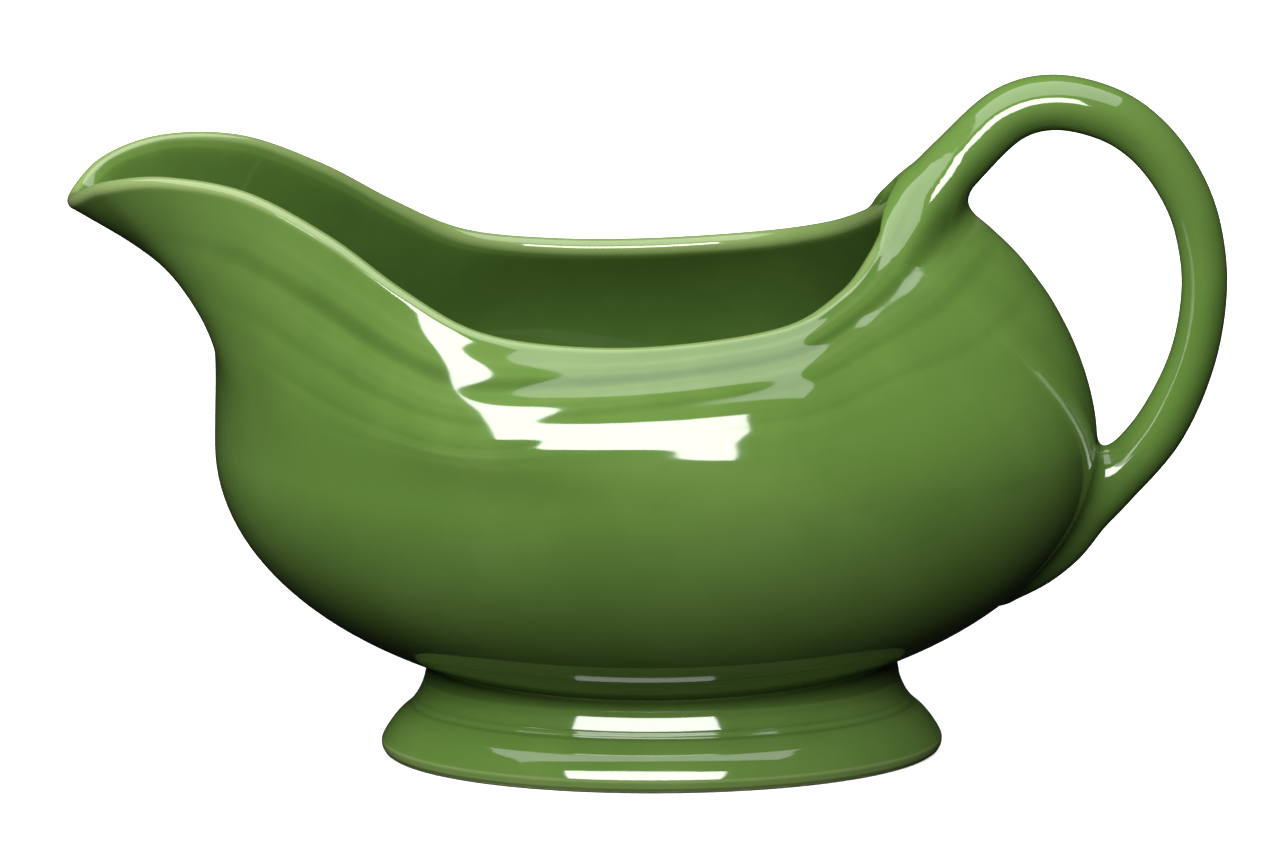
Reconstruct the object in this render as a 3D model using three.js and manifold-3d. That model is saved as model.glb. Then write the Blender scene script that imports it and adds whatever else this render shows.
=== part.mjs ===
// Footed gravy boat, slip-cast and luted together: an oval bowl with a swept pouring spout,
// a hollow oval foot under it and a loop handle behind it, with the joints of clay slip
// between them. Millimetres, +Z up. The origin is on the table, under the middle of the
// whole length. The spout points to -X, the handle to +X, and Y = 0 is the mirror plane.

import * as THREE from 'three';
import { ParametricGeometry } from 'three/addons/geometries/ParametricGeometry.js';
import { mergeVertices } from 'three/addons/utils/BufferGeometryUtils.js';
import Module from 'manifold-3d';

// Driving dimensions

const BELLY_LENGTH = 155.2;
const BELLY_WIDTH = 112.4;
const BELLY_CENTRE_X = 1.4;
const BELLY_Z = 55.6;
const BELLY_DEPTH = 45.7;
const BELLY_SHIFT = 0.28;
const WALL = 3.6;
const SPOUT_WALL = 2.9;

// Half of the rim, from the back, where the handle stands, round to the tip of the spout:
// X, Y, Z of the edge, then how the wall comes up to it. Lean is the wall's slope at the rim
// in degrees, from flat outwards (0) through upright (90) to flat inwards (180). Rise is the
// straight start off the belly, and run the straight finish into the rim.
const HALF_RIM = [
  { at: [46.0, 0.0, 102.0], lean: 160, rise: 14.1, run: 22.2 },
  { at: [43.2, 6.6, 98.2], lean: 150, rise: 14.0, run: 19.2 },
  { at: [39.4, 17.3, 93.4], lean: 141, rise: 13.1, run: 16.0 },
  { at: [33.4, 29.2, 88.7], lean: 134, rise: 12.8, run: 11.4 },
  { at: [22.4, 40.2, 84.8], lean: 134.6, rise: 8.5, run: 12.4 },
  { at: [2.4, 44.8, 82.6], lean: 131.6, rise: 8.0, run: 13.5 },
  { at: [-15.6, 45.4, 82.6], lean: 127.9, rise: 8.0, run: 17.5 },
  { at: [-31.6, 43.4, 84.7], lean: 116.8, rise: 10.0, run: 25.0 },
  { at: [-44.6, 38.8, 90.9], lean: 106, rise: 12.0, run: 29.5 },
  { at: [-57.6, 32.0, 98.9], lean: 97.4, rise: 13.0, run: 31.6 },
  { at: [-71.6, 25.7, 105.1], lean: 86.9, rise: 17.1, run: 31.7 },
  { at: [-85.6, 19.5, 106.3], lean: 70, rise: 18.8, run: 30.2 },
  { at: [-96.1, 11.8, 103.5], lean: 49, rise: 21.8, run: 33.2 },
  { at: [-101.4, 0.0, 98.8], lean: 30, rise: 25.0, run: 33.1 },
];
const RIM_ROLL = 0.16;
const FAN_CENTRE = 0.45;

// Turned rings that run round the shoulder below the rim.
// First is how far below the rim the first groove lies, as a share of the rings' pitch.
const RING_COUNT = 4.5;
const RING_DEPTH = 0.15;
const RING_START = 0.3;
const RING_FIRST = 0.77;

const FOOT_CENTRE_X = 2.4;
const FOOT_LENGTH = 99;
const FOOT_WIDTH = 66;
const NECK_LENGTH = 82.4;
const NECK_WIDTH = 52;
const FOOT_WALL = 4.4;
const FOOT_RING_WIDTH = 3.6;

// Middle line of the handle: X, Z, thickness in the plane of the loop, width across it.
const HANDLE_PATH = [
  [46.9, 96.8, 11.0, 16.5],
  [49.8, 100.5, 11.0, 15.0],
  [54.3, 105.7, 10.3, 13.2],
  [62.7, 113.6, 10.0, 11.4],
  [71.1, 115.9, 9.8, 10.8],
  [80.6, 113.7, 9.5, 10.4],
  [87.7, 108.8, 9.0, 10.0],
  [93.2, 101.4, 8.6, 9.7],
  [96.5, 93.0, 8.3, 9.5],
  [97.7, 82.1, 8.1, 9.4],
  [95.6, 69.4, 8.3, 9.5],
  [89.9, 57.1, 9.1, 10.0],
  [81.4, 47.2, 9.3, 10.4],
  [77.1, 42.4, 9.0, 10.4],
  [72.8, 37.1, 9.2, 9.8],
  [68.2, 32.7, 8.0, 8.6],
  [62.8, 29.4, 6.2, 6.6],
];

const SLIP = 0.6;
const GAP = 0.3;

// Facets round and along each surface

const BOWL_ROUND = 64;
const FOOT_ROUND = 64;
const HANDLE_ROUND = 18;
const HANDLE_ALONG = 52;

const smooth = (x) => {
  const t = Math.min(1, Math.max(0, x));
  return t * t * (3 - 2 * t);
};

// A smooth closed curve through one value for each rim point, mirrored to the other side.
function aroundRim(value) {
  const half = HALF_RIM.map((point) => value(point, 1));
  const back = HALF_RIM.slice(1, -1).reverse().map((point) => value(point, -1));
  return new THREE.CatmullRomCurve3([...half, ...back], true, 'catmullrom', 0.5);
}

const rimCurve = aroundRim(({ at }, side) => new THREE.Vector3(at[0], side * at[1], at[2]));
const slopeCurve = aroundRim(({ lean, rise, run }) => new THREE.Vector3(lean, rise, run));

// Angle round the belly for a turn round the rim, so that the sides stand upright.
const bellyAngle = (turn) => 2 * Math.PI * turn + BELLY_SHIFT * Math.sin(2 * Math.PI * turn);

// The wall thins on its way up to the spout.
function wallAt(turn, height) {
  const spout = 1 - smooth(2 * (1 + Math.cos(2 * Math.PI * turn)));
  return WALL - (WALL - SPOUT_WALL) * spout * smooth(2 * height - 1);
}

function bellyPoint(turn, size) {
  const angle = bellyAngle(turn);
  return new THREE.Vector3(
    BELLY_CENTRE_X + (BELLY_LENGTH / 2) * size * Math.cos(angle),
    (BELLY_WIDTH / 2) * size * Math.sin(angle),
    BELLY_Z,
  );
}

// The meridian of the outer wall at one turn: a cubic from the belly up to the rim.
function meridian(turn) {
  const place = THREE.MathUtils.euclideanModulo(turn, 1);
  const rim = rimCurve.getPoint(place);
  const slope = slopeCurve.getPoint(place);
  const lean = THREE.MathUtils.degToRad(slope.x);
  const outwards = new THREE.Vector2(rim.x * (1 - FAN_CENTRE), rim.y).setLength(Math.cos(lean));
  const up = new THREE.Vector3(outwards.x, outwards.y, Math.sin(lean));
  const edge = rim.clone().addScaledVector(up, -RIM_ROLL * wallAt(turn, 1));
  const belly = bellyPoint(turn, 1);
  return new THREE.CubicBezierCurve3(
    belly,
    new THREE.Vector3(belly.x, belly.y, belly.z + slope.y),
    edge.clone().addScaledVector(up, -slope.z),
    edge,
  );
}

// The smooth outer skin: height 0 is the bottom, 0.5 the belly and 1 the rim.
function skinPoint(turn, height) {
  if (height >= 0.5) return meridian(turn).getPoint(2 * height - 1);
  const drop = Math.PI * (0.5 - height);
  const point = bellyPoint(turn, Math.cos(drop));
  point.z -= BELLY_DEPTH * Math.sin(drop);
  return point;
}

function skinNormal(turn, height) {
  if (height < 0.004) return new THREE.Vector3(0, 0, -1);
  const h = Math.min(0.999, height);
  const d = 0.001;
  const round = skinPoint(turn + d, h).sub(skinPoint(turn - d, h));
  const up = skinPoint(turn, h + d).sub(skinPoint(turn, h - d));
  return round.cross(up).normalize();
}

// Depth of the turned rings, deepest near the rim and fading to the belly and the spout.
function ringDepth(turn, height) {
  const place = (2 * height - 1 - RING_START) / (1 - RING_START);
  if (place <= 0 || place >= 1) return 0;
  const fade = smooth(3 * place) * smooth(12 * (1 - place)) * (1 - 0.55 * smooth(2.8 * (1 - place) - 0.4));
  const sides = 1 - 0.6 * smooth(-2 * Math.cos(2 * Math.PI * turn) - 1);
  const wave = Math.cos(2 * Math.PI * (RING_COUNT * (1 - place) - RING_FIRST));
  return RING_DEPTH * fade * sides * (0.5 + 0.5 * wave);
}

// The whole wall as one closed skin: up the outside, over the rounded rim, down the inside.
// `swell` thickens it on every side.
function wallPoint(turn, along, swell, ringed) {
  const round = 0.06;
  const outer = 0.56;
  const wall = wallAt(turn, 1);
  if (along <= outer) {
    const height = along / outer;
    const depth = ringed ? ringDepth(turn, height) : 0;
    return skinPoint(turn, height).addScaledVector(skinNormal(turn, height), swell - depth);
  }
  const edge = skinPoint(turn, 1);
  const normal = skinNormal(turn, 1);
  if (along < outer + round) {
    const angle = (Math.PI * (along - outer)) / round;
    const d = 0.002;
    const up = skinPoint(turn, 1).sub(skinPoint(turn, 1 - d)).normalize();
    const radius = wall / 2 + swell;
    return edge
      .addScaledVector(normal, radius * Math.cos(angle) - wall / 2)
      .addScaledVector(up, radius * Math.sin(angle));
  }
  const height = (1 - along) / (1 - outer - round);
  return skinPoint(turn, height).addScaledVector(skinNormal(turn, height), -wallAt(turn, height) - swell);
}

// Closed geometry from a point function over (across, along), wrapped round and drawn to
// one point at both ends.
function closedSkin(point, across, stations) {
  const skin = (u, v, target) => {
    const step = Math.round(v * (stations.length - 1));
    target.copy(point(u === 1 ? 0 : u, stations[step]));
  };
  const geometry = new ParametricGeometry(skin, across, stations.length - 1);
  geometry.deleteAttribute('normal');
  geometry.deleteAttribute('uv');
  return dropFlat(mergeVertices(geometry, 1e-4));
}

function dropFlat(geometry) {
  const index = geometry.getIndex().array;
  const kept = [];
  for (let i = 0; i < index.length; i += 3) {
    const [a, b, c] = [index[i], index[i + 1], index[i + 2]];
    if (a !== b && b !== c && c !== a) kept.push(a, b, c);
  }
  geometry.setIndex(kept);
  return geometry;
}

// Solids for cutting and joining

const wasm = await Module();
wasm.setup();

function solidOf(geometry) {
  return new wasm.Manifold(new wasm.Mesh({
    numProp: 3,
    vertProperties: new Float32Array(geometry.getAttribute('position').array),
    triVerts: new Uint32Array(geometry.getIndex().array),
  }));
}

function geometryOf(solid) {
  const mesh = solid.getMesh();
  const geometry = new THREE.BufferGeometry();
  geometry.setAttribute('position', new THREE.BufferAttribute(mesh.vertProperties, 3));
  geometry.setIndex(new THREE.BufferAttribute(mesh.triVerts, 1));
  return geometry;
}

// The largest loose piece of a solid whose middle height passes the test.
function largest(solid, test) {
  const middle = (piece) => (piece.boundingBox().min[2] + piece.boundingBox().max[2]) / 2;
  const pieces = solid.decompose().filter((piece) => test(middle(piece)));
  return pieces.sort((a, b) => b.volume() - a.volume())[0];
}

// Bowl

function evenly(from, to, steps) {
  return Array.from({ length: steps }, (_, i) => from + ((to - from) * i) / steps);
}

function bowlStations(ringed) {
  const belly = 0.28;
  const rings = 0.28 * (1 + RING_START);
  return [
    ...evenly(0, belly, 10),
    ...evenly(belly, rings, ringed ? 3 : 4),
    ...evenly(rings, 0.56, ringed ? 24 : 10),
    ...evenly(0.56, 0.62, 5),
    ...evenly(0.62, 1, 20),
    1,
  ];
}

function bowlGeometry(swell, ringed) {
  const point = (turn, along) => wallPoint(turn, along, swell, ringed);
  return closedSkin(point, BOWL_ROUND, bowlStations(ringed));
}

// Foot: an oval pedestal, open underneath, whose top edge follows the bottom of the bowl.

function bowlBottomZ(x, y) {
  const u = (x - BELLY_CENTRE_X) / (BELLY_LENGTH / 2);
  const v = y / (BELLY_WIDTH / 2);
  return BELLY_Z - BELLY_DEPTH * Math.sqrt(Math.max(0, 1 - u * u - v * v));
}

// Outline of the foot's wall: flare from the neck (0) to the lip (1), distance in from the
// outer face, and height. The table ring comes between the outside and the hollow.
const FOOT_OUTLINE = [
  [0.095, 0, 13.3],
  [0.14, 0, 12.2],
  [0.2, 0, 11.1],
  [0.265, 0, 10.1],
  [0.325, 0, 9.4],
  [0.39, 0, 8.7],
  [0.48, 0, 8],
  [0.58, 0, 7.3],
  [0.665, 0, 6.6],
  [0.735, 0, 5.9],
  [0.8, 0, 5.2],
  [0.865, 0, 4.4],
  [0.925, 0, 3.6],
  [0.975, 0, 2.8],
  [1, 0, 2.1],
  [0.99, 0, 1.2],
  [0.94, 0, 0.4],
  [0.87, 0, 0],
  [0.87, FOOT_RING_WIDTH, 0],
  [0.87, FOOT_RING_WIDTH + 0.6, 0.6],
  [0.8, FOOT_WALL, 3.4],
  [0.5, FOOT_WALL, 5.8],
  [0.15, FOOT_WALL, 9.2],
];

function footOval(turn, flare, inset) {
  const angle = 2 * Math.PI * turn;
  const length = NECK_LENGTH + (FOOT_LENGTH - NECK_LENGTH) * flare - 2 * inset;
  const width = NECK_WIDTH + (FOOT_WIDTH - NECK_WIDTH) * flare - 2 * inset;
  return [FOOT_CENTRE_X + (length / 2) * Math.cos(angle), (width / 2) * Math.sin(angle)];
}

// A ring under the bowl: its top and bottom follow the bowl at two distances below it.
function underBowl(turn, inset, below) {
  const [x, y] = footOval(turn, 0, inset);
  return new THREE.Vector3(x, y, bowlBottomZ(x, y) - below);
}

function footPoint(turn, station) {
  const top = SLIP + 2 * GAP;
  if (station < FOOT_OUTLINE.length) {
    const [flare, inset, z] = FOOT_OUTLINE[station];
    return new THREE.Vector3(...footOval(turn, flare, inset), z);
  }
  return underBowl(turn, FOOT_WALL * (1 - 0.5 * (station - FOOT_OUTLINE.length)), top);
}

function footSlipPoint(turn, station) {
  const edge = [0.4, FOOT_WALL - 0.4];
  const inset = edge[station === 1 || station === 2 ? 1 : 0];
  return underBowl(turn, inset, station < 2 ? GAP + SLIP : GAP);
}

// A ring closed both ways round, from a point function over a loop of stations that goes
// down the outside and up the inside.
function closedRing(point, across, count) {
  const loop = Array.from({ length: count }, (_, i) => count - 1 - i);
  return closedSkin(point, across, [0, ...loop]);
}

// Handle: an oval strap swept along its middle line, rounded off at both ends.

const handleCurve = new THREE.CatmullRomCurve3(
  HANDLE_PATH.map(([x, z]) => new THREE.Vector3(x, 0, z)),
  false,
  'catmullrom',
  0.5,
);
const handleSize = new THREE.CatmullRomCurve3(
  HANDLE_PATH.map(([, , thick, wide]) => new THREE.Vector3(thick / 2, wide / 2, 0)),
  false,
  'catmullrom',
  0.5,
);

function handlePoint(turn, along) {
  const middle = handleCurve.getPoint(along);
  const tangent = handleCurve.getTangent(along);
  const size = handleSize.getPoint(along);
  const end = 0.03;
  const cap = Math.min(along, 1 - along) / end;
  const round = cap < 1 ? Math.sqrt(1 - (1 - cap) ** 2) : 1;
  const angle = 2 * Math.PI * turn;
  const inPlane = size.x * round * Math.cos(angle);
  return new THREE.Vector3(
    middle.x - tangent.z * inPlane,
    -size.y * round * Math.sin(angle),
    middle.z + tangent.x * inPlane,
  );
}

function handleGeometry() {
  const end = 0.03;
  const stations = [0, 0.004, 0.012, ...evenly(end, 1 - end, HANDLE_ALONG), 1 - end, 0.988, 0.996, 1];
  return closedSkin(handlePoint, HANDLE_ROUND, stations);
}

// Materials

function glaze(colour) {
  return new THREE.MeshStandardMaterial({ color: colour, roughness: 0.1, metalness: 0 });
}

const oliveGlaze = () => glaze(0x5a7f3a);
const slipClay = () => new THREE.MeshStandardMaterial({ color: 0xcfc4a8, roughness: 0.85, metalness: 0 });

// Assembly

const boat = new THREE.Group();

function add(name, geometry, material) {
  const mesh = new THREE.Mesh(geometry, material);
  mesh.name = name;
  boat.add(mesh);
}

const strap = solidOf(handleGeometry());
const nearSkin = solidOf(bowlGeometry(GAP, false));
const slipSkin = solidOf(bowlGeometry(GAP + SLIP, false));
const clearSkin = solidOf(bowlGeometry(SLIP + 2 * GAP, false));
const slips = strap.intersect(slipSkin).subtract(nearSkin);

add('bowl', bowlGeometry(0, true), oliveGlaze());
add('foot', closedRing(footPoint, FOOT_ROUND, FOOT_OUTLINE.length + 3), oliveGlaze());
add('handle', geometryOf(largest(strap.subtract(clearSkin), () => true)), oliveGlaze());
add('foot_joint_slip', closedRing(footSlipPoint, FOOT_ROUND, 4), slipClay());
add('handle_top_joint_slip', geometryOf(largest(slips, (z) => z > BELLY_Z + 20)), slipClay());
add('handle_tail_joint_slip', geometryOf(largest(slips, (z) => z < BELLY_Z + 20)), slipClay());

export default boat;
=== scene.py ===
"""Footed gravy boat in glossy olive green glaze, on a plain pale floor."""
import math

import bpy
import numpy as np
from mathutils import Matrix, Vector
from mathutils.bvhtree import BVHTree
from mathutils.kdtree import KDTree


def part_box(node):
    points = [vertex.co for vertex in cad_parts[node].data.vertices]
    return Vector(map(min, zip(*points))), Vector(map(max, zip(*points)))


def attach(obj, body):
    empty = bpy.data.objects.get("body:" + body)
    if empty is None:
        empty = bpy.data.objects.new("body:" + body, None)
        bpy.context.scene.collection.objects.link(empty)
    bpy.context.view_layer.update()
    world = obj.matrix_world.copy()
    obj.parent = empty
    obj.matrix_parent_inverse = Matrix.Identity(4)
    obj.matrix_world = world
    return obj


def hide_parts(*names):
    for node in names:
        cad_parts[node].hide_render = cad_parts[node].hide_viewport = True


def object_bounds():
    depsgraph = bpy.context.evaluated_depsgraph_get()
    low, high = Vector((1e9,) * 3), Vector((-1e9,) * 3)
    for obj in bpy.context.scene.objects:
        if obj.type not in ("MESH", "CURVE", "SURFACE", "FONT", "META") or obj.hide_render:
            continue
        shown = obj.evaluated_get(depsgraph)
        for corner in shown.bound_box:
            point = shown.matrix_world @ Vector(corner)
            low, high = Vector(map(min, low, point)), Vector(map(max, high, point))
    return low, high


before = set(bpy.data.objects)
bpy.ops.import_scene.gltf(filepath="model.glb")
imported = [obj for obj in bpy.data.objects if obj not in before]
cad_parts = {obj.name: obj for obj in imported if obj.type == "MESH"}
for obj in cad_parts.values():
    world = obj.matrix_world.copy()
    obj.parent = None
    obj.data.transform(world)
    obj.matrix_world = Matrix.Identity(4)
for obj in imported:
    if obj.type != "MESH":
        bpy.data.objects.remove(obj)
cad_low, cad_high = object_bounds()
MM = 0.001

# ---------------------------------------------------------------- dimensions, millimetres

BELLY_HALF_LENGTH, BELLY_HALF_WIDTH = 77.6, 56.2
BELLY_X, BELLY_Z, BELLY_DEPTH = 1.4, 55.6, 45.7
BELLY_SHIFT = 0.28
WALL, SPOUT_WALL = 3.6, 2.9
RIM_ROLL, FAN_CENTRE = 0.16, 0.45

# Half of the rim from the handle round to the spout: X, Y, Z, lean, rise, run.
HALF_RIM = np.array([
    (46.0, 0.0, 102.0, 160, 14.1, 22.2),
    (43.2, 6.6, 98.2, 150, 14.0, 19.2),
    (39.4, 17.3, 93.4, 141, 13.1, 16.0),
    (33.4, 29.2, 88.7, 134, 12.8, 11.4),
    (22.4, 40.2, 84.8, 134.6, 8.5, 12.4),
    (2.4, 44.8, 82.6, 131.6, 8.0, 13.5),
    (-15.6, 45.4, 82.6, 127.9, 8.0, 17.5),
    (-31.6, 43.4, 84.7, 116.8, 10.0, 25.0),
    (-44.6, 38.8, 90.9, 106, 12.0, 29.5),
    (-57.6, 32.0, 98.9, 97.4, 13.0, 31.6),
    (-71.6, 25.7, 105.1, 86.9, 17.1, 31.7),
    (-85.6, 19.5, 106.3, 70, 18.8, 30.2),
    (-96.1, 11.8, 103.5, 49, 21.8, 33.2),
    (-101.4, 0.0, 98.8, 30, 25.0, 33.1),
])

# Turned rings under the rim, which the glaze has nearly filled. Start is the share of the wall
# above the belly that stays plain, and first is how many pitches below the rim the first groove
# lies. Of the ringed part, the first third fades them in and the last twelfth fades them out.
# They lose some of their depth lower down and round the spout. Tone is how strongly the glaze
# thins on their crests and pools in their grooves.
RING_COUNT, RING_DEPTH, RING_START, RING_FIRST = 4.5, 0.11, 0.3, 0.77
RING_FADE_IN, RING_FADE_OUT = 1 / 3, 1 / 12
RING_LOWER_LOSS, RING_SPOUT_LOSS = 0.55, 0.6
RING_TONE = 0.13

# How strongly painted shade darkens the inside of the bowl and underneath it, the heights where
# that painted shade underneath starts and is full, and the share of the outside's own hollows that counts
PAINTED_SHADE, SHADE_TOP, SHADE_FULL, HOLLOW_SHARE = 0.15, 30, 14, 0.3

foot_low, foot_high = (np.array(corner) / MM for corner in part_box("foot"))
FOOT_X = (foot_low[0] + foot_high[0]) / 2
FOOT_HALF = (foot_high - foot_low) / 2
NECK_HALF = FOOT_HALF - np.array([8.3, 7.0, 0])
FOOT_WALL, FOOT_RING = 4.4, 3.6

# Outline of the foot from the neck down the outside and up the hollow: flare, inset, Z.
FOOT_OUTLINE = np.array([
    (0.095, 0, 13.3), (0.14, 0, 12.2), (0.2, 0, 11.1), (0.265, 0, 10.1), (0.325, 0, 9.4),
    (0.39, 0, 8.7), (0.48, 0, 8), (0.58, 0, 7.3), (0.665, 0, 6.6), (0.735, 0, 5.9),
    (0.8, 0, 5.2), (0.865, 0, 4.4), (0.925, 0, 3.6), (0.975, 0, 2.8), (1, 0, 2.1),
    (0.99, 0, 1.2), (0.94, 0, 0.4), (0.87, 0, 0),
    (0.87, FOOT_RING, 0.0), (0.87, FOOT_RING + 0.6, 0.6),
    (0.80, FOOT_WALL, 3.4), (0.50, FOOT_WALL, 5.8), (0.15, FOOT_WALL, 9.2),
])

# Middle line of the handle: X, Z, thickness in the loop's plane, width across it.
HANDLE_PATH = np.array([
    (42.7, 91.5, 11.0, 17.0), (46.3, 96.1, 11.0, 16.5),
    (49.8, 100.5, 11.0, 15.0), (54.3, 105.7, 10.3, 13.2),
    (62.7, 113.6, 10.0, 11.4), (71.1, 115.9, 9.8, 10.8), (80.6, 113.7, 9.5, 10.4),
    (87.7, 108.8, 9.0, 10.0), (93.2, 101.4, 8.6, 9.7), (96.5, 93.0, 8.3, 9.5),
    (97.7, 82.1, 8.1, 9.4), (95.6, 69.4, 8.3, 9.5), (89.9, 57.1, 9.1, 10.0),
    (81.4, 47.2, 9.3, 10.4), (77.1, 42.4, 9.0, 10.4), (72.8, 37.1, 9.2, 9.8),
    (68.2, 32.7, 8.0, 8.6), (62.8, 29.4, 6.2, 6.6),
])

FILLET, SIDE_FILLET, SINK, STRAP_END = 4.5, 11.0, 0.03, 3.0
CELL = 0.55

# ---------------------------------------------------------------- curves


def ease(x):
    t = np.clip(x, 0, 1)
    return t * t * (3 - 2 * t)


def spline(knots, place, closed):
    """Smooth curve through rows of knots at places 0 to 1 along it."""
    count = len(knots)
    s = np.mod(place, 1) * count if closed else np.clip(place, 0, 1) * (count - 1)
    start = np.floor(s).astype(int)
    if closed:
        pick = [knots[(start + k) % count] for k in (-1, 0, 1, 2)]
    else:
        start = np.minimum(start, count - 2)
        ends = np.vstack([2 * knots[0] - knots[1], knots, 2 * knots[-1] - knots[-2]])
        pick = [ends[start + k] for k in (0, 1, 2, 3)]
    f = (s - start)[..., None]
    a, b, c, d = pick
    return 0.5 * (2 * b + (c - a) * f + (2 * a - 5 * b + 4 * c - d) * f ** 2
                  + (3 * b - a - 3 * c + d) * f ** 3)


# ---------------------------------------------------------------- bowl

mirrored = HALF_RIM[1:-1][::-1] * np.array([1, -1, 1, 1, 1, 1])
RIM_LOOP = np.vstack([HALF_RIM, mirrored])


def wall_at(turn, height):
    spout = 1 - ease(2 * (1 + np.cos(2 * np.pi * turn)))
    return WALL - (WALL - SPOUT_WALL) * spout * ease(2 * height - 1)


def belly_point(turn, size):
    angle = 2 * np.pi * turn + BELLY_SHIFT * np.sin(2 * np.pi * turn)
    x = BELLY_X + BELLY_HALF_LENGTH * size * np.cos(angle)
    y = BELLY_HALF_WIDTH * size * np.sin(angle)
    return np.stack([x, y, np.full_like(x, BELLY_Z)], -1)


def skin_point(turn, height):
    """Smooth outer skin: height 0 is the bottom, 0.5 the belly and 1 the rim."""
    turn, height = np.broadcast_arrays(turn, height)
    knot = spline(RIM_LOOP, turn, True)
    rim, lean = knot[..., :3], np.radians(knot[..., 3])
    out = np.stack([rim[..., 0] * (1 - FAN_CENTRE), rim[..., 1]], -1)
    out /= np.linalg.norm(out, axis=-1, keepdims=True)
    up = np.stack([np.cos(lean) * out[..., 0], np.cos(lean) * out[..., 1], np.sin(lean)], -1)
    edge = rim - up * (RIM_ROLL * wall_at(turn, np.ones_like(turn)))[..., None]
    belly = belly_point(turn, np.ones_like(turn))
    lift = belly + knot[..., 4:5] * np.array([0, 0, 1.0])
    lead = edge - up * knot[..., 5:6]
    v = np.clip(2 * height - 1, 0, 1.01)[..., None]
    high = (1 - v) ** 3 * belly + 3 * (1 - v) ** 2 * v * lift + 3 * (1 - v) * v ** 2 * lead + v ** 3 * edge
    drop = np.pi * (0.5 - np.minimum(height, 0.5))
    low = belly_point(turn, np.cos(drop))
    low[..., 2] -= BELLY_DEPTH * np.sin(drop)
    return np.where((height >= 0.5)[..., None], high, low)


def skin_normal(turn, height):
    turn, height = np.broadcast_arrays(turn, height)
    h, d = np.clip(height, 0.004, 0.999), 0.001
    normal = np.cross(skin_point(turn + d, h) - skin_point(turn - d, h),
                      skin_point(turn, h + d) - skin_point(turn, h - d))
    normal /= np.linalg.norm(normal, axis=-1, keepdims=True)
    return np.where((height < 0.004)[..., None], np.array([0, 0, -1.0]), normal)


def ring_wave(turn, height):
    """The turned rings, -1 on a crest and 1 in a groove, fading to the belly and the spout."""
    place = (2 * height - 1 - RING_START) / (1 - RING_START)
    below = 1 - place
    fade = ease(place / RING_FADE_IN) * ease(below / RING_FADE_OUT)
    fade *= 1 - RING_LOWER_LOSS * ease(2.8 * below - 0.4)
    sides = 1 - RING_SPOUT_LOSS * ease(-2 * np.cos(2 * np.pi * turn) - 1)
    wave = np.cos(2 * np.pi * (RING_COUNT * below - RING_FIRST))
    return fade * sides * wave * ((place > 0) & (place < 1))


OUTSIDE = np.concatenate([np.linspace(0.012, 0.5, 40, endpoint=False), np.linspace(0.5, 1, 150)])
INSIDE = np.concatenate([np.linspace(1, 0.5, 60, endpoint=False), np.linspace(0.5, 0.012, 40)])
UPPER_INSIDE = 25


def bowl_rows(turn):
    """Rings of points up the outside, over the rim and down the inside."""
    heights, turns = OUTSIDE[:, None], turn[None, :]
    sunk = RING_DEPTH / 2 * ring_wave(turns, heights)
    outside = skin_point(turns, heights) - skin_normal(turns, heights) * sunk[..., None]
    edge = skin_point(turn, np.ones_like(turn))
    normal = skin_normal(turn, np.ones_like(turn))
    up = edge - skin_point(turn, np.full_like(turn, 0.998))
    up /= np.linalg.norm(up, axis=-1, keepdims=True)
    half = (wall_at(turn, np.ones_like(turn)) / 2)[:, None]
    roll = [edge + normal * half * (math.cos(a) - 1) + up * half * math.sin(a)
            for a in np.linspace(0, math.pi, 16)[1:-1]]
    depths = INSIDE[:, None]
    inside = skin_point(turns, depths) - skin_normal(turns, depths) * wall_at(turns, depths)[..., None]
    return np.concatenate([outside, np.array(roll), inside])


# ---------------------------------------------------------------- mesh building


def make_piece(name, points, faces):
    mesh = bpy.data.meshes.new(name)
    mesh.from_pydata(points.tolist(), [], faces)
    mesh.validate()
    mesh.shade_smooth()
    piece = bpy.data.objects.new(name, mesh)
    bpy.context.scene.collection.objects.link(piece)
    return piece


def ring_faces(rows, across, closed=False):
    """Quads between rings of points, and back to the first ring when closed."""
    i = np.arange(rows if closed else rows - 1)[:, None]
    j = np.arange(across)[None, :]
    k = (j + 1) % across
    n = (i + 1) % rows
    quads = np.stack([i * across + j, i * across + k, n * across + k, n * across + j], -1)
    return quads.reshape(-1, 4).tolist()


def seat(points, node):
    """Points in millimetres, moved and scaled by a hair to fill their CAD node's box."""
    low, high = (np.array(c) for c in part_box(node))
    p = points * MM
    size = p.max(0) - p.min(0)
    return low + (p - p.min(0)) / size * (high - low)


def build_bowl():
    across = 400
    even = np.arange(across) / across
    turn = even - 0.55 * np.sin(2 * np.pi * even) / (2 * np.pi)
    rows = bowl_rows(turn)
    count = len(rows)
    bottom = np.array([BELLY_X, 0, BELLY_Z - BELLY_DEPTH])
    points = np.vstack([rows.reshape(-1, 3), bottom, bottom + (0, 0, WALL)])
    faces = ring_faces(count, across)
    tip, well = count * across, count * across + 1
    last = (count - 1) * across
    for j in range(across):
        k = (j + 1) % across
        faces.append((j, tip, k))
        faces.append((last + j, last + k, well))
    rings = np.zeros(len(points))
    rings[:len(OUTSIDE) * across] = ring_wave(turn[None, :], OUTSIDE[:, None]).ravel()
    bowl = make_piece("bowl_body", seat(points, "bowl"), faces)
    # Painted shade: the outside darkens towards the bottom and the whole inside is darkened, passed on as
    # lowered crest values like pooled glaze
    pooled_and_shaded = PAINTED_SHADE * ease((SHADE_TOP - points[:, 2]) / (SHADE_TOP - SHADE_FULL))
    pooled_and_shaded[(count - len(INSIDE) + 1) * across:] = PAINTED_SHADE
    crest = crest_of(bowl, 3)
    mark(bowl, np.maximum(crest, HOLLOW_SHARE * crest) - RING_TONE * rings - pooled_and_shaded)
    return bowl


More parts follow.
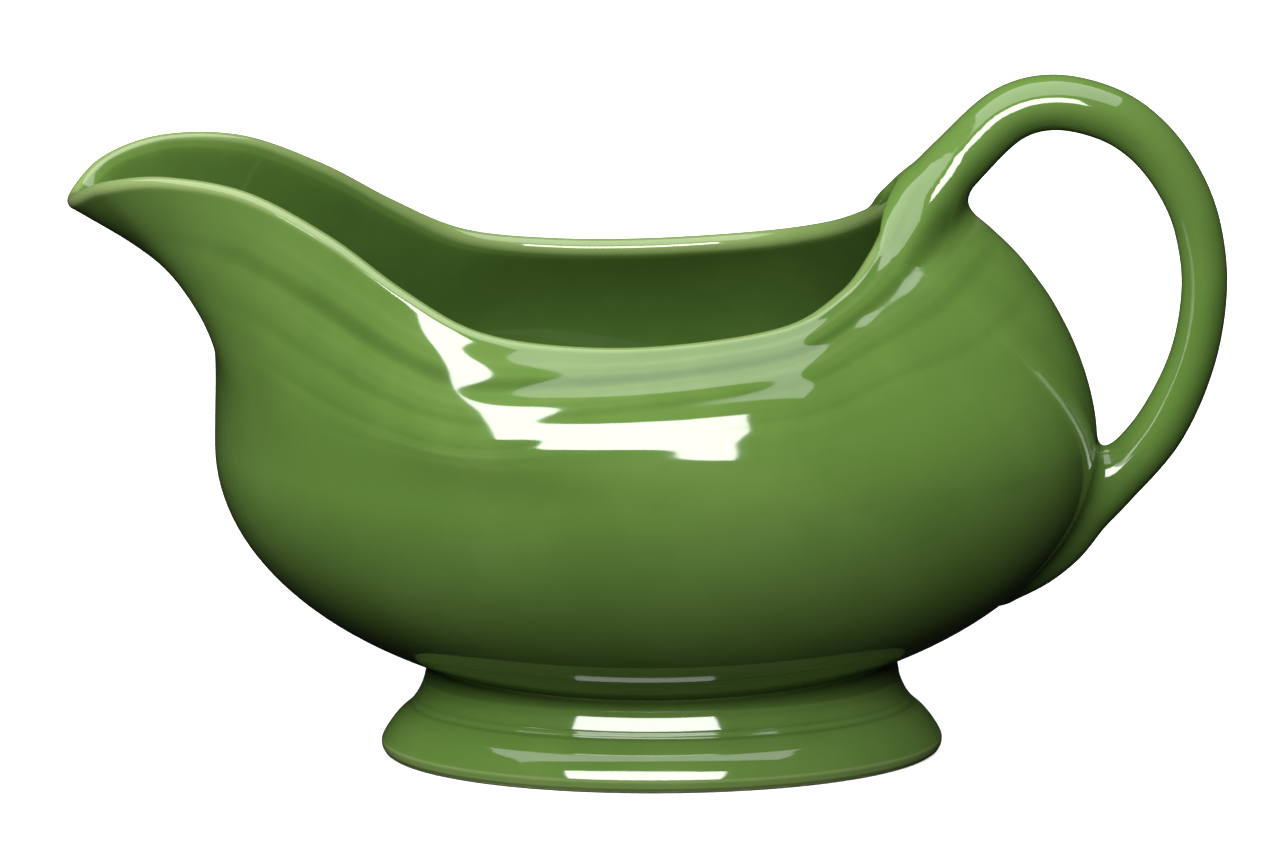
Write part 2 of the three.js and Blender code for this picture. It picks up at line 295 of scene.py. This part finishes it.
def bowl_bottom(x, y):
    u, v = (x - BELLY_X) / BELLY_HALF_LENGTH, y / BELLY_HALF_WIDTH
    return BELLY_Z - BELLY_DEPTH * np.sqrt(np.maximum(0, 1 - u * u - v * v))


def build_foot():
    across = 300
    angle = 2 * np.pi * np.arange(across) / across

    def oval(flare, inset):
        a, b, _ = NECK_HALF + (FOOT_HALF - NECK_HALF) * flare - inset
        return FOOT_X + a * np.cos(angle), b * np.sin(angle)

    outside = spline(FOOT_OUTLINE[:17], np.linspace(0, 1, 110), False)
    bearing = spline(FOOT_OUTLINE[16:18], np.linspace(0, 1, 5), False)[1:]
    ring = spline(FOOT_OUTLINE[17:19], np.linspace(0, 1, 8), False)[1:]
    hollow = spline(FOOT_OUTLINE[18:], np.linspace(0, 1, 40), False)[1:]
    rows = []
    for reach, below in ((FOOT_WALL, 0.3), (FOOT_WALL, -0.4), (0.2, -0.4), (-0.55, -0.25),
                         (-0.4, 0.03), (-0.2, 0.22), (-0.05, 0.55)):
        x, y = oval(0.02, reach)
        rows.append(np.stack([x, y, bowl_bottom(x, y) - below], -1))
    for flare, inset, z in np.vstack([outside, bearing, ring, hollow]):
        x, y = oval(flare, inset)
        rows.append(np.stack([x, y, np.full_like(x, z)], -1))
    points = np.array(rows)
    faces = [face[::-1] for face in ring_faces(len(points), across, closed=True)]
    foot = make_piece("foot_body", points.reshape(-1, 3) * MM, faces)
    mark(foot, crest_of(foot, 3))
    return foot


# ---------------------------------------------------------------- handle, grown out of the bowl

HANDLE_LINE = spline(HANDLE_PATH, np.linspace(0, 1, 900), False)
HANDLE_RUN = np.gradient(HANDLE_LINE[:, :2], axis=0)
HANDLE_RUN /= np.linalg.norm(HANDLE_RUN, axis=1, keepdims=True)


def nearest_station(x, z):
    """Which station of the handle's middle line lies nearest to each X, Z."""
    nearest = np.empty(len(x), int)
    for start in range(0, len(x), 20000):
        part = slice(start, start + 20000)
        gap = (x[part, None] - HANDLE_LINE[:, 0]) ** 2 + (z[part, None] - HANDLE_LINE[:, 1]) ** 2
        nearest[part] = gap.argmin(1)
    return nearest


def strap_distance(points, nearest):
    """Signed distance to the plain oval strap with short rounded ends, and its fillet's reach."""
    line, run = HANDLE_LINE[nearest], HANDLE_RUN[nearest]
    dx, dz = points[:, 0] - line[:, 0], points[:, 2] - line[:, 1]
    ended = (nearest == 0) | (nearest == len(HANDLE_LINE) - 1)
    across = run[:, 0] * dz - run[:, 1] * dx
    past = np.where(ended, run[:, 0] * dx + run[:, 1] * dz, 0)
    offset = np.stack([across, points[:, 1], past], -1)
    half = np.stack([line[:, 2] / 2, line[:, 3] / 2, np.full(len(line), STRAP_END)], -1)
    k0 = np.linalg.norm(offset / half, axis=1)
    k1 = np.linalg.norm(offset / half ** 2, axis=1)
    distance = np.where(k0 < 0.05, -half.min(1), k0 * (k0 - 1) / np.maximum(k1, 1e-6))
    a, b = (across / half[:, 0]) ** 2, (points[:, 1] / half[:, 1]) ** 2
    side = b / np.maximum(a + b, 1e-6) * ease((points[:, 2] - 60) / 30)
    return distance, FILLET + (SIDE_FILLET - FILLET) * side


def signed_distance(tree, points, straight=False):
    """Distance to a surface out to 15 mm, negative behind it, or height over its nearest facet."""
    out = np.full(len(points), 15.0)
    for i, p in enumerate(points):
        spot, normal, _, gap = tree.find_nearest(p, 15.0)
        if spot is not None:
            rise = (Vector(p) - spot).dot(normal)
            out[i] = rise if straight else math.copysign(gap, rise)
    return out


def handle_level(points, nearest, wall, skin):
    """Level of the strap run into the bowl with a fillet, and whether that is open surface.

    Wall is the bowl's whole wall round the joint and skin its outer side alone. The strap
    ends inside the wall, and the fillet dies away over the rim's edge.
    """
    strap, reach = strap_distance(points, nearest)
    near = strap < reach + 2
    clay, depth = np.full(len(points), 15.0), np.full(len(points), 15.0)
    clay[near] = signed_distance(wall, points[near])
    depth[near] = signed_distance(skin, points[near], True)
    strap = np.maximum(strap, -depth - 1.8)
    reach = np.maximum(reach * ease(1 + depth / 3), 0.3)
    share = np.clip(0.5 + 0.5 * (strap - clay) / reach, 0, 1)
    joined = strap + (clay - strap) * share - reach * share * (1 - share) + SINK * share
    cut = np.maximum(-clay - 0.9, strap - reach + 0.3)
    return np.maximum(joined, cut), (joined > cut + 0.2) & (clay > -0.4), share


def net_surface(field, low, cell):
    """Closed quad mesh of the zero level of a grid of values."""
    inside = field < 0
    corners = np.array([(i, j, k) for i in (0, 1) for j in (0, 1) for k in (0, 1)])

    def corner(grid, c):
        return grid[tuple(slice(c[n], grid.shape[n] - 1 + c[n]) for n in range(3))]

    total = sum(corner(inside, c).astype(int) for c in corners)
    mixed = (total > 0) & (total < 8)
    cells = np.argwhere(mixed)
    number = np.full(mixed.shape, -1)
    number[mixed] = np.arange(len(cells))
    summed, count = np.zeros((len(cells), 3)), np.zeros(len(cells))
    for a in range(8):
        for b in range(a + 1, 8):
            if abs(corners[a] - corners[b]).sum() != 1:
                continue
            va, vb = corner(field, corners[a])[mixed], corner(field, corners[b])[mixed]
            crossed = (va < 0) != (vb < 0)
            t = np.where(crossed, va / np.where(crossed, va - vb, 1), 0)
            summed += np.where(crossed[:, None], corners[a] + (corners[b] - corners[a]) * t[:, None], 0)
            count += crossed
    points = low + (cells + summed / count[:, None]) * cell
    faces = []
    step = np.eye(3, dtype=int)
    for axis in range(3):
        u, v = (axis + 1) % 3, (axis + 2) % 3
        here = [slice(1, -1)] * 3
        there = [slice(1, -1)] * 3
        here[axis], there[axis] = slice(0, -1), slice(1, None)
        leaves = inside[tuple(here)] & ~inside[tuple(there)]
        enters = inside[tuple(there)] & ~inside[tuple(here)]
        for edge, turned in ((leaves, False), (enters, True)):
            base = np.argwhere(edge) + 1 - step[axis]
            ring = [base - step[u] - step[v], base - step[v], base, base - step[u]]
            quad = np.stack([number[tuple(r.T)] for r in ring], -1)
            faces.append(quad[:, ::-1] if turned else quad)
    return points, np.vstack(faces)


def bowl_back():
    """The back of the bowl's wall and of its outer skin alone, for the handle to grow from."""
    across = 400
    rows = bowl_rows(np.linspace(-0.1, 0.1, across))
    for part in (rows[:UPPER_INSIDE - len(INSIDE)], rows[:len(OUTSIDE)]):
        faces = [face for face in ring_faces(len(part), across) if face[1] > face[0]]
        yield BVHTree.FromPolygons(part.reshape(-1, 3).tolist(), faces)


def crest_under(points, bowl):
    """The bowl's crest value, painted shade included, at the spot nearest to each point."""
    known = KDTree(len(bowl.data.vertices))
    for i, vertex in enumerate(bowl.data.vertices):
        known.insert(vertex.co / MM, i)
    known.balance()
    crest = bowl.data.attributes["crest"].data
    return np.array([crest[known.find(p)[1]].value for p in points])


def lay_edge(handle, points, share, wall):
    """Shades the handle's thin edge like the bowl's surface that it lies on."""
    normals = np.empty(len(points) * 3)
    handle.data.vertices.foreach_get("normal", normals)
    normals = normals.reshape(-1, 3)
    blend = ease((share - 0.85) / 0.08)
    for i in np.flatnonzero(blend):
        spot, under, _, gap = wall.find_nearest(points[i], 3.0)
        if gap < 0.5:
            normals[i] += (np.array(under) - normals[i]) * blend[i]
    handle.data.normals_split_custom_set_from_vertices(normals.tolist())


def build_handle(bowl):
    trees = tuple(bowl_back())
    low = np.array([HANDLE_LINE[:, 0].min() - 15, -22.0, HANDLE_LINE[:, 1].min() - 14])
    high = np.array([HANDLE_LINE[:, 0].max() + 7, 22.0, HANDLE_LINE[:, 1].max() + 7])
    counts = np.ceil((high - low) / CELL).astype(int)
    axes = [low[i] + np.arange(counts[i]) * CELL for i in range(3)]
    x, z = np.meshgrid(axes[0], axes[2], indexing="ij")
    flat = nearest_station(x.ravel(), z.ravel()).reshape(x.shape)
    nearest = np.repeat(flat[:, None, :], counts[1], 1).ravel()
    grid = np.stack(np.meshgrid(*axes, indexing="ij"), -1).reshape(-1, 3)
    field = handle_level(grid, nearest, *trees)[0]
    points, faces = net_surface(field.reshape(counts), low, CELL)
    for _ in range(3):
        points = settle(points, trees)
    share = handle_level(points, nearest_station(points[:, 0], points[:, 2]), *trees)[2]
    top = np.array(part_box("handle")[1]) / MM
    moved = points + (top - points.max(0)) * (1, 0, 1)
    handle = make_piece("handle_strap", moved * MM, faces.tolist())
    lay_edge(handle, points, share, trees[0])
    mark(handle, share * crest_under(points, bowl) + (1 - share) * (0.05 - 0.4 * share))
    return handle


def settle(points, trees):
    """Moves the points of the open surface onto the exact fillet."""

    def level(p):
        return handle_level(p, nearest_station(p[:, 0], p[:, 2]), *trees)

    d = 0.03
    value, seen, _ = level(points)
    slope = np.stack([(level(points + d * e)[0] - value) / d for e in np.eye(3)], -1)
    step = -value[:, None] * slope / np.maximum((slope ** 2).sum(1, keepdims=True), 0.2)
    return points + np.where((seen & (np.abs(value) < 0.6))[:, None], np.clip(step, -0.3, 0.3), 0)


# ---------------------------------------------------------------- how thin the glaze lies, with the bowl's painted shade


def crest_of(piece, spread):
    """Mean curvature at each point, per millimetre: above 0 on crests, below 0 in grooves."""
    mesh = piece.data
    count = len(mesh.vertices)
    place, normal = np.empty(count * 3), np.empty(count * 3)
    mesh.vertices.foreach_get("co", place)
    mesh.vertices.foreach_get("normal", normal)
    place, normal = place.reshape(-1, 3) / MM, normal.reshape(-1, 3)
    ends = np.empty(len(mesh.edges) * 2, int)
    mesh.edges.foreach_get("vertices", ends)
    a, b = ends.reshape(-1, 2).T
    run = place[b] - place[a]
    bend = ((normal[b] - normal[a]) * run).sum(1) / np.maximum((run ** 2).sum(1), 1e-6)
    shared = np.bincount(a, minlength=count) + np.bincount(b, minlength=count)
    crest = (np.bincount(a, bend, count) + np.bincount(b, bend, count)) / shared
    for _ in range(spread):
        around = np.bincount(a, crest[b], count) + np.bincount(b, crest[a], count)
        crest = 0.4 * crest + 0.6 * around / shared
    return crest


def mark(piece, crest):
    layer = piece.data.attributes.new("crest", "FLOAT", "POINT")
    layer.data.foreach_set("value", crest.astype(np.float32))


# ---------------------------------------------------------------- materials


class Wire:
    """An output of a material's node, which sums like a number."""

    def __init__(self, coat, socket):
        self.coat, self.socket = coat, socket

    def maths(self, how, a, b):
        return self.coat.node("ShaderNodeMath", {"operation": how}, {0: a, 1: b})

    def __add__(self, other):
        return self.maths("ADD", self, other)

    def __sub__(self, other):
        return self.maths("SUBTRACT", self, other)

    def __rsub__(self, other):
        return self.maths("SUBTRACT", other, self)

    def __mul__(self, other):
        return self.maths("MULTIPLY", self, other)

    def __truediv__(self, other):
        return self.maths("DIVIDE", self, other)

    def __rtruediv__(self, other):
        return self.maths("DIVIDE", other, self)

    __radd__, __rmul__ = __add__, __mul__


class Coat:
    """A material built from nodes."""

    def __init__(self, name):
        self.material = bpy.data.materials.new(name)
        self.material.use_nodes = True
        self.tree = self.material.node_tree
        self.tree.nodes.clear()
        self.place = self.node("ShaderNodeTexCoord", output="Object")
        self.height = self.node("ShaderNodeSeparateXYZ", {}, {0: self.place}, "Z")
        self.crest = self.node("ShaderNodeAttribute", {"attribute_name": "crest"}, output="Fac")

    def node(self, kind, settings=None, inputs=None, output=0):
        made = self.tree.nodes.new(kind)
        for key, value in (settings or {}).items():
            setattr(made, key, value)
        for key, value in (inputs or {}).items():
            if isinstance(value, Wire):
                self.tree.links.new(value.socket, made.inputs[key])
            else:
                made.inputs[key].default_value = value
        return Wire(self, made.outputs[output])

    def noise(self, size, detail=3.0, rough=0.5):
        """Soft noise whose blotches are about this many millimetres across, from 0 to 1."""
        values = {"Vector": self.place, "Scale": 1 / (size * MM), "Detail": detail, "Roughness": rough}
        return self.node("ShaderNodeTexNoise", {}, values, "Fac")

    def ramp(self, value, start, end):
        """0 before start and 1 after end, with a soft change between."""
        values = {"Value": value, "From Min": start, "From Max": end}
        return self.node("ShaderNodeMapRange", {"interpolation_type": "SMOOTHSTEP"}, values)

    def mix(self, share, one, other):
        """The first colour where share is 0, the other where it is 1."""
        values = {0: share}
        for socket, colour in ((6, one), (7, other)):
            values[socket] = colour if isinstance(colour, Wire) else (*colour, 1)
        return self.node("ShaderNodeMix", {"data_type": "RGBA"}, values, 2)

    def bump(self, height, depth, strength=1.0):
        """Surface relief of this many millimetres from a height of 0 to 1."""
        values = {"Height": height, "Distance": depth * MM, "Strength": strength}
        return self.node("ShaderNodeBump", {}, values)

    def surface(self, colour, roughness, normal, **constants):
        values = {"Base Color": colour, "Roughness": roughness, "Normal": normal, **constants}
        return self.node("ShaderNodeBsdfPrincipled", {}, values)

    def done(self, shader):
        output = self.tree.nodes.new("ShaderNodeOutputMaterial")
        self.tree.links.new(shader.socket, output.inputs["Surface"])
        return self.material


# Deep glaze colour, for glaze pooled in grooves and also as painted shade inside and under the bowl
DEEP_GLAZE_AND_SHADE = (0.028, 0.062, 0.010)
OLIVE_GLAZE = (0.066, 0.130, 0.024)
LEAF_GLAZE = (0.080, 0.148, 0.031)
THIN_GLAZE = (0.170, 0.225, 0.085)
BARE_CLAY = (0.62, 0.55, 0.42)
DARK_CLAY = (0.48, 0.40, 0.29)


def glaze(coat):
    """Transparent olive glaze: light where it thins over crests, deep where it pools, with painted shade
    inside and under the bowl.
    """
    drift = coat.noise(45, 2)
    cloud = coat.noise(9, 4, 0.6)
    crest = coat.crest + (cloud - 0.5) * 0.06
    thin = coat.ramp(crest, 0.06, 0.36)
    # Pooled glaze in grooves, and painted shade where the crest values were lowered inside and under the
    # bowl
    pooled_and_shaded = coat.ramp(crest, 0.0, -0.20)
    colour = coat.mix(coat.ramp(drift + (cloud - 0.5) * 0.4, 0.35, 0.70), OLIVE_GLAZE, LEAF_GLAZE)
    colour = coat.mix(pooled_and_shaded * 0.75, colour, DEEP_GLAZE_AND_SHADE)
    colour = coat.mix(thin * 0.7, colour, THIN_GLAZE)
    roughness = 0.045 + 0.03 * coat.noise(22, 3)
    relief = coat.bump(coat.noise(14, 2, 0.4), 0.035)
    fine = {"Height": coat.noise(1.6, 2), "Distance": 0.0012 * MM, "Normal": relief}
    skin = coat.node("ShaderNodeBump", {}, fine)
    return coat.surface(colour, roughness, skin, IOR=1.6)


def bare_clay(coat):
    grain = coat.noise(0.5, 4, 0.7)
    cloud = coat.noise(7, 3)
    colour = coat.mix(coat.ramp(cloud, 0.35, 0.7), BARE_CLAY, DARK_CLAY)
    return coat.surface(colour, 0.75 + 0.2 * grain, coat.bump(grain, 0.03))


def glaze_material(name):
    coat = Coat(name)
    return coat.done(glaze(coat))


def foot_material():
    """Glaze that was wiped off the ring the boat stands on."""
    coat = Coat("foot_glaze_bare_ring")
    line = coat.height / MM + (coat.noise(3, 3) - 0.5) * 0.35
    wiped = coat.ramp(line, 0.45, 0.3)
    return coat.done(coat.node("ShaderNodeMixShader", {}, {0: wiped, 1: glaze(coat), 2: bare_clay(coat)}))


def slip_material():
    coat = Coat("fired_joining_slip")
    return coat.done(bare_clay(coat))


# ---------------------------------------------------------------- the boat

bowl, foot = build_bowl(), build_foot()
handle = build_handle(bowl)
finishes = (
    (bowl, "bowl", "olive_glaze", glaze_material("bowl_olive_glaze")),
    (foot, "foot", "foot_glaze", foot_material()),
    (handle, "handle", "handle_glaze", glaze_material("handle_olive_glaze")),
)
for piece, node, slot, material in finishes:
    piece.data.materials.append(material)
    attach(piece, "root")
    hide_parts(node)

slip = slip_material()
for name in ("foot_joint_slip", "handle_top_joint_slip", "handle_tail_joint_slip"):
    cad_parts[name].data.materials.clear()
    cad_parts[name].data.materials.append(slip)

# ---------------------------------------------------------------- table, lights and camera


def pale_floor():
    coat = Coat("pale_table")
    tint = coat.ramp(coat.noise(180, 2), 0.3, 0.7)
    colour = coat.mix(tint, (0.80, 0.80, 0.79), (0.84, 0.84, 0.83))
    glow = {"Emission Color": (1, 1, 1, 1), "Emission Strength": 0.6}
    return coat.done(coat.surface(colour, 0.6, coat.bump(coat.noise(4, 2), 0.01), **glow))


bpy.ops.mesh.primitive_plane_add(size=12, location=(0, 0, cad_low.z))
floor = bpy.context.object
floor.name = "table"
floor.data.materials.append(pale_floor())
floor.visible_glossy = False
floor.visible_diffuse = False


def soft_light(name, azimuth, elevation, distance, size, power, shade=(1, 1, 1)):
    """Area light that faces the boat. Azimuth 0 is in front, above 0 towards the handle."""
    a, e = math.radians(azimuth), math.radians(elevation)
    middle = (cad_low + cad_high) / 2
    towards = Vector((math.sin(a) * math.cos(e), -math.cos(a) * math.cos(e), math.sin(e)))
    data = bpy.data.lights.new(name, "AREA")
    data.shape, data.size, data.size_y = "RECTANGLE", size[0], size[1]
    data.energy, data.color = power, shade
    lamp = bpy.data.objects.new(name, data)
    lamp.location = middle + towards * distance
    lamp.rotation_euler = towards.to_track_quat("Z", "Y").to_euler()
    bpy.context.scene.collection.objects.link(lamp)
    return lamp


soft_light("front_softbox", -5, 29, 1.3, (1.0, 0.45), 23)
for name, azimuth, elevation, power in (("left_fill", -55, 40, 17), ("back_fill", 165, 35, 14)):
    soft_light(name, azimuth, elevation, 1.4, (0.8, 0.8), power).visible_glossy = False


def overhead_scrim():
    """A wide evenly glowing cloth above the boat."""
    coat = Coat("scrim_glow")
    shader = coat.node("ShaderNodeEmission", {}, {"Color": (1, 1, 1, 1), "Strength": 3.0})
    bpy.ops.mesh.primitive_plane_add(size=2, location=(-0.15, -0.25, 1.5))
    scrim = bpy.context.object
    scrim.name = "overhead_scrim"
    scrim.scale = (1.22, 0.92, 1)
    scrim.visible_camera = False
    scrim.data.materials.append(coat.done(shader))


overhead_scrim()

world = bpy.data.worlds.new("dim_studio")
bpy.context.scene.world = world
world.use_nodes = True
world.node_tree.nodes["Background"].inputs["Color"].default_value = (0.006, 0.006, 0.006, 1)

middle_z = 57 * MM
elevation, swing, distance = math.radians(13), math.radians(2.3), 2.5
back = Vector((-math.cos(elevation) * math.sin(swing), -math.cos(elevation) * math.cos(swing),
               math.sin(elevation)))
camera = bpy.data.objects.new("view", bpy.data.cameras.new("view"))
camera.location = Vector((0, 0, middle_z)) + back * distance
camera.rotation_euler = back.to_track_quat("Z", "Y").to_euler()
camera.data.sensor_width, camera.data.lens = 36, 400.4
camera.data.shift_x, camera.data.shift_y = -0.0069, 0.0078
bpy.context.scene.collection.objects.link(camera)
bpy.context.scene.camera = camera
bpy.context.scene.view_settings.view_transform = "Standard"
